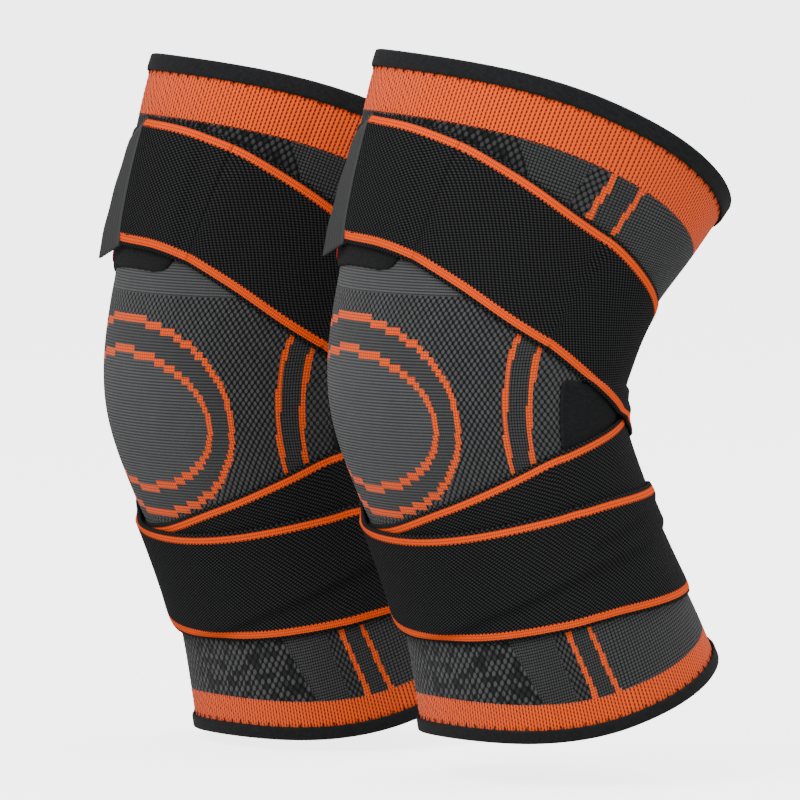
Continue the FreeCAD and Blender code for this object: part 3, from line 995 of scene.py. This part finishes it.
def on_patch(heights, turns, edges):
    """How far places are over a patch, 0 to 1."""
    first, last, low, high = edges
    turns = (turns - (first + last) / 2 + 180) % 360 - 180
    beside = np.abs(turns) - (last - first) / 2
    above = np.abs(heights - (low + high) / 2) - (high - low) / 2
    return 1 - smooth_step(0, 4, np.maximum(beside * MM_PER_DEGREE, above))


def strap_lift(route_turn, length, heights, turns):
    """How far the strap's inner face stands off the knit, layer over layer."""
    points = leg_point(heights, turns, 0.0)
    centres = route_point(route_turn)
    tangents = unit(np.gradient(centres, axis=0))
    lift = np.full(heights.shape, STRAP_REST)
    lift += (PATCH_THICKNESS + PATCH_OUT) * on_patch(heights, turns, ANCHOR_PATCH)
    lift += (PATCH_THICKNESS + PATCH_OUT) * on_patch(heights, turns, LOOP_PATCH)
    # The layers about one turn and about two turns before each place
    for first, last in ((0.5, 1.5), (1.5, 2.5)):
        for column in range(0, len(route_turn), COLUMNS_AT_ONCE):
            behind = (length < length[column] - (first - 0.1) * ONE_TURN_LENGTH * 0.85)
            behind &= length > length[column] - last * ONE_TURN_LENGTH
            if behind.any():
                part = slice(column, column + COLUMNS_AT_ONCE)
                lift[:, part] += LAYER_RISE * covered(points[:, part], centres[behind], tangents[behind])
    return lift + HOOK_RISE * smooth_step(*HOOK_RAMP, route_turn)


def webbing_material():
    """Black elastic webbing with grey flecks and an orange stripe inside each selvedge, with painted shade
    in the hollows of its weave.
    """
    material, shader, root = cloth_material("strap_webbing", 0.9, 0.0)
    u, v = chart_wires(root, "Cloth")
    from_edge = STRAP_WIDTH / 2 - abs(v)
    teeth = (abs((u / 1.7).fraction() - 0.5) < 0.25) * 0.45
    stripe = (from_edge > STRIPE[0]) * (from_edge < STRIPE[1] + teeth)
    fleck = ovals(u + 0.35 * v, v, 2.0, 1.5).ramp(0.6, 0.95)
    weave = ovals(u + 0.35 * v, v, 1.0, 0.75).ramp(0.0, 0.9)
    stripe_weave = squares(u, v + 0.4, 0.85, 1.25)
    # Painted shade: the black yarn is darkest in the weave's hollows
    black = weave.tint((0.001, 0.001, 0.0011, 1), (0.0034, 0.0035, 0.0038, 1))
    black = fleck.tint(black, (0.034, 0.0345, 0.036, 1))
    # Painted shade: the stripe's orange darkens in the hollows between its stitches
    colour = stripe.tint(black, stripe_weave.tint((0.6, 0.042, 0.002, 1), ORANGE))
    relief = stripe.choose(0.6 * weave + 0.3 * fleck, 0.5 + 0.5 * stripe_weave)
    connect(shader, colour, relief, 0.0003)
    return material


WEBBING = webbing_material()


def strap_part(name, side, columns, grid, length, lift):
    """Slab of the strap over some of its columns."""
    heights, turns = grid
    shift = SIDES[side]
    across = np.linspace(-1, 1, heights.shape[0])[:, None]
    rounding = 0.35 * np.abs(across) ** 16 * STRAP_THICKNESS
    part = (slice(None), columns)
    outer = leg_point(heights[part], turns[part], (lift + STRAP_THICKNESS - rounding)[part]) + shift
    inner = leg_point(heights[part], turns[part], (lift + 0.3 * rounding)[part]) + shift
    chart = np.stack(np.broadcast_arrays(length[None, columns], across * STRAP_WIDTH / 2), -1)
    piece = slab(name, outer[:, ::-1], inner[:, ::-1], {"Cloth": chart[:, ::-1]}, False)
    piece.data.materials.append(WEBBING)
    return piece


def strap(side):
    """The strap's wrap and its end. Returns their shared grid, its lift, and the end's first column."""
    route_turn = np.linspace(STRAP_ROUTE[0][0], STRAP_ROUTE[-1][0], STRAP_COLUMNS)
    steps = np.linalg.norm(np.diff(route_point(route_turn), axis=0), axis=-1)
    length = np.concatenate(([0.0], np.cumsum(steps)))
    grid = strap_grid(route_turn)
    lift = strap_lift(route_turn, length, *grid)
    parting = int(np.argmin(np.abs(route_turn - STRAP_PARTING)))
    main = strap_part(f"{side}_strap_wrap", side, slice(0, parting + 1), grid, length, lift)
    bend_at_knee(main)
    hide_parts(f"{side}_strap_lower", f"{side}_strap_cross", f"{side}_strap_upper")
    tail = strap_part(f"{side}_strap_tail", side, slice(parting, None), grid, length, lift)
    hinge = route_point(STRAP_PARTING) + SIDES[side]
    onward = unit(route_point(STRAP_PARTING - 1.0) - route_point(STRAP_PARTING))
    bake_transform(tail)
    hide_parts(f"{side}_strap_end")
    return grid, lift, parting


STRAPS = {side: strap(side) for side in SIDES}


# Strap end. Hook tape is sewn under it, and a ribbed plastic pull tab is welded to
# its cut edge behind a zigzag bar tack. The tab stands straight off the leg.
TAB_THICKNESS = 1.2
TAB_LENGTH_TOP = 12.0
TAB_LENGTH_BOTTOM = 20.0
TAB_DROP = 8.0
TAB_ROWS = 60
TAB_COLUMNS = 90
RIB_PITCH = 2.6
RIB_HEIGHT = 0.12
WELD_SWELL = 0.3
WELD_LENGTH = 3.5
HOOK_WIDTH = 46.0
HOOK_THICKNESS = 1.0
HOOK_GAP = 0.05
# The hook tape on the strap's grid: rows left bare beside it, columns left bare before it
HOOK_INSET_ROWS = 2
HOOK_START_COLUMNS = 6
TACK_COLUMN = -4


def plastic_material():
    """Grey moulded plastic with fine ribs for the fingers, and painted shade in the troughs between the
    ribs.
    """
    material, shader, root = cloth_material("tab_plastic", 0.5, 0.0)
    shader.inputs["Specular IOR Level"].default_value = 0.3
    along = chart_wires(root, "Cloth")[0]
    rib = 1 - (abs((along / RIB_PITCH).fraction() - 0.5) * 2) ** 2
    # Painted shade: the one plastic is darker in the troughs between ribs than on their crests
    colour = rib.tint((0.014, 0.0143, 0.015, 1), (0.026, 0.0265, 0.028, 1))
    connect(shader, colour, rib, 0.0002)
    return material


TAB_PLASTIC = plastic_material()
HOOK_TAPE = plain_cloth("hook_tape", (0.02, 0.02, 0.021, 1), 0.5, 1.2, 0.0006)


def hook_tape(side):
    """Hook tape under the strap's end, a little narrower than the strap."""
    (heights, turns), lift, parting = STRAPS[side]
    part = (slice(HOOK_INSET_ROWS, -HOOK_INSET_ROWS), slice(parting + HOOK_START_COLUMNS, None))
    top = leg_point(heights[part], turns[part], lift[part] - HOOK_GAP) + SIDES[side]
    under = leg_point(heights[part], turns[part], lift[part] - HOOK_GAP - HOOK_THICKNESS) + SIDES[side]
    width = np.linspace(-HOOK_WIDTH / 2, HOOK_WIDTH / 2, top.shape[0])[:, None]
    run = np.arange(top.shape[1])[None, :] * 1.5
    chart = np.stack(np.broadcast_arrays(run, width), -1)
    hook = slab(f"{side}_hook_tape", top[:, ::-1], under[:, ::-1], {"Cloth": chart[:, ::-1]}, False)
    hook.data.materials.append(HOOK_TAPE)
    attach(hook, f"{side}_strap_end")
    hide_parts(f"{side}_hook_patch")


def tab_root(side):
    """Points down the strap's cut edge, and the directions that the strap points there."""
    (heights, turns), lift, _ = STRAPS[side]
    middle = lift[:, -1] + STRAP_THICKNESS / 2
    root = leg_point(heights[:, -1], turns[:, -1], middle)
    away = unit(root - leg_point(heights[:, -4], turns[:, -4], middle))
    wanted = np.linspace(0, len(root) - 1, TAB_ROWS)
    given = np.arange(len(root))
    finer = [np.stack([np.interp(wanted, given, column) for column in grid.T], -1) for grid in (root, away)]
    return finer[0], unit(finer[1])


def pull_tab(side):
    """Ribbed tab, thicker where it is welded to the strap, longer at its lower corner."""
    root, away = tab_root(side)
    share = np.linspace(0, 1, TAB_ROWS)[:, None]
    reach = TAB_LENGTH_BOTTOM + (TAB_LENGTH_TOP - TAB_LENGTH_BOTTOM) * share
    tip = root + away * reach + np.array([0, 0, -TAB_DROP])
    along = np.linspace(0.0, 1, TAB_COLUMNS)[None, :, None]
    sheet = root[:, None, :] * (1 - along) + tip[:, None, :] * along
    normal = unit(np.cross(np.gradient(sheet, axis=1), np.gradient(sheet, axis=0)))
    run = along[..., 0] * reach
    rib = RIB_HEIGHT * np.cos(2 * math.pi * run / RIB_PITCH)
    swell = WELD_SWELL * smooth_step(WELD_LENGTH, 0.5, run)
    half = (TAB_THICKNESS / 2 + rib + swell)[..., None]
    front = sheet + normal * half + SIDES[side]
    back = sheet - normal * half + SIDES[side]
    chart = np.stack(np.broadcast_arrays(run, share * STRAP_WIDTH), -1)
    tab = slab(f"{side}_pull_tab", front, back, {"Cloth": chart}, False)
    tab.data.materials.append(TAB_PLASTIC)
    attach(tab, f"{side}_strap_end")
    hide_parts(f"{side}_grip_tab")


def bar_tack(side):
    """Row of short stitches across the strap just before the tab."""
    (heights, turns), lift, _ = STRAPS[side]
    rows = np.arange(3, len(heights) - 2, 2)
    out = lift[rows, TACK_COLUMN] + STRAP_THICKNESS + 0.1
    centres, _, around, normals = leg_frame(heights[rows, TACK_COLUMN], turns[rows, TACK_COLUMN], out)
    tack = sew(f"{side}_bar_tack", side, centres, around, normals)
    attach(tack, f"{side}_strap_end")
    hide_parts(f"{side}_tab_stitching")


for side in SIDES:
    hook_tape(side)
    pull_tab(side)
    bar_tack(side)


# Stage: a plain pale floor that glows so that no shadow or horizon shows on it, three
# soft studio lamps, and a long lens level with the knees.
FLOOR_SIZE = 60.0
FLOOR_GLOW = 3.5
ROOM_LIGHT = 0.75
ROOM_SEEN = 4.4
LENS = 1500.0
FRAME_WIDTH = 0.3344
SENSOR = 36.0
AIM = Vector((-0.0155, -0.0268, 0.0))
AZIMUTH = math.radians(60)
ELEVATION = math.radians(5)
HALF_PAIR_DEPTH = 0.082


def floor():
    bpy.ops.mesh.primitive_plane_add(size=FLOOR_SIZE, location=(0, 0, CAD_LOW.z - 0.004))
    plane = bpy.context.object
    plane.name = "floor"
    material = bpy.data.materials.new("floor")
    material.use_nodes = True
    shader = material.node_tree.nodes["Principled BSDF"]
    shader.inputs["Base Color"].default_value = (0.9, 0.9, 0.9, 1)
    shader.inputs["Roughness"].default_value = 0.9
    shader.inputs["Emission Color"].default_value = (1, 1, 1, 1)
    shader.inputs["Emission Strength"].default_value = FLOOR_GLOW
    plane.visible_diffuse = False
    plane.visible_glossy = False
    plane.data.materials.append(material)


def lamp(name, azimuth, elevation, distance, size, power):
    """Square lamp aimed at the pair, hidden from the camera."""
    turn = math.radians(azimuth)
    rise = math.radians(elevation)
    away = Vector((math.sin(turn) * math.cos(rise), -math.cos(turn) * math.cos(rise), math.sin(rise)))
    light = bpy.data.lights.new(name, "AREA")
    light.size = size
    light.energy = power
    holder = bpy.data.objects.new(name, light)
    holder.location = AIM + away * distance
    holder.rotation_mode = "QUATERNION"
    holder.rotation_quaternion = (-away).to_track_quat("-Z", "Y")
    holder.visible_camera = False
    bpy.context.scene.collection.objects.link(holder)


def backdrop():
    """Even light from all round. Where it is seen past the floor, it is as bright as the floor."""
    world = bpy.data.worlds.new("studio")
    world.use_nodes = True
    tree = world.node_tree
    background = tree.nodes["Background"]
    background.inputs["Color"].default_value = (1, 1, 1, 1)
    path = tree.nodes.new("ShaderNodeLightPath")
    strength = tree.nodes.new("ShaderNodeMapRange")
    strength.inputs["To Min"].default_value = ROOM_LIGHT
    strength.inputs["To Max"].default_value = ROOM_SEEN
    tree.links.new(path.outputs["Is Camera Ray"], strength.inputs["Value"])
    tree.links.new(strength.outputs["Result"], background.inputs["Strength"])
    bpy.context.scene.world = world


def camera():
    data = bpy.data.cameras.new("camera")
    data.lens = LENS
    data.sensor_width = SENSOR
    data.clip_start = 1.0
    data.clip_end = 80.0
    holder = bpy.data.objects.new("camera", data)
    away = Vector((
        math.sin(AZIMUTH) * math.cos(ELEVATION),
        -math.cos(AZIMUTH) * math.cos(ELEVATION),
        math.sin(ELEVATION),
    ))
    distance = FRAME_WIDTH * LENS / SENSOR - HALF_PAIR_DEPTH
    holder.location = AIM + away * distance
    holder.rotation_mode = "QUATERNION"
    holder.rotation_quaternion = (-away).to_track_quat("-Z", "Y")
    bpy.context.scene.collection.objects.link(holder)
    bpy.context.scene.camera = holder


floor()
backdrop()
lamp("key", 20, 35, 1.6, 1.0, 25)
lamp("fill", 110, 20, 1.8, 1.2, 12)
lamp("rim", 200, 45, 1.8, 1.0, 12)
camera()
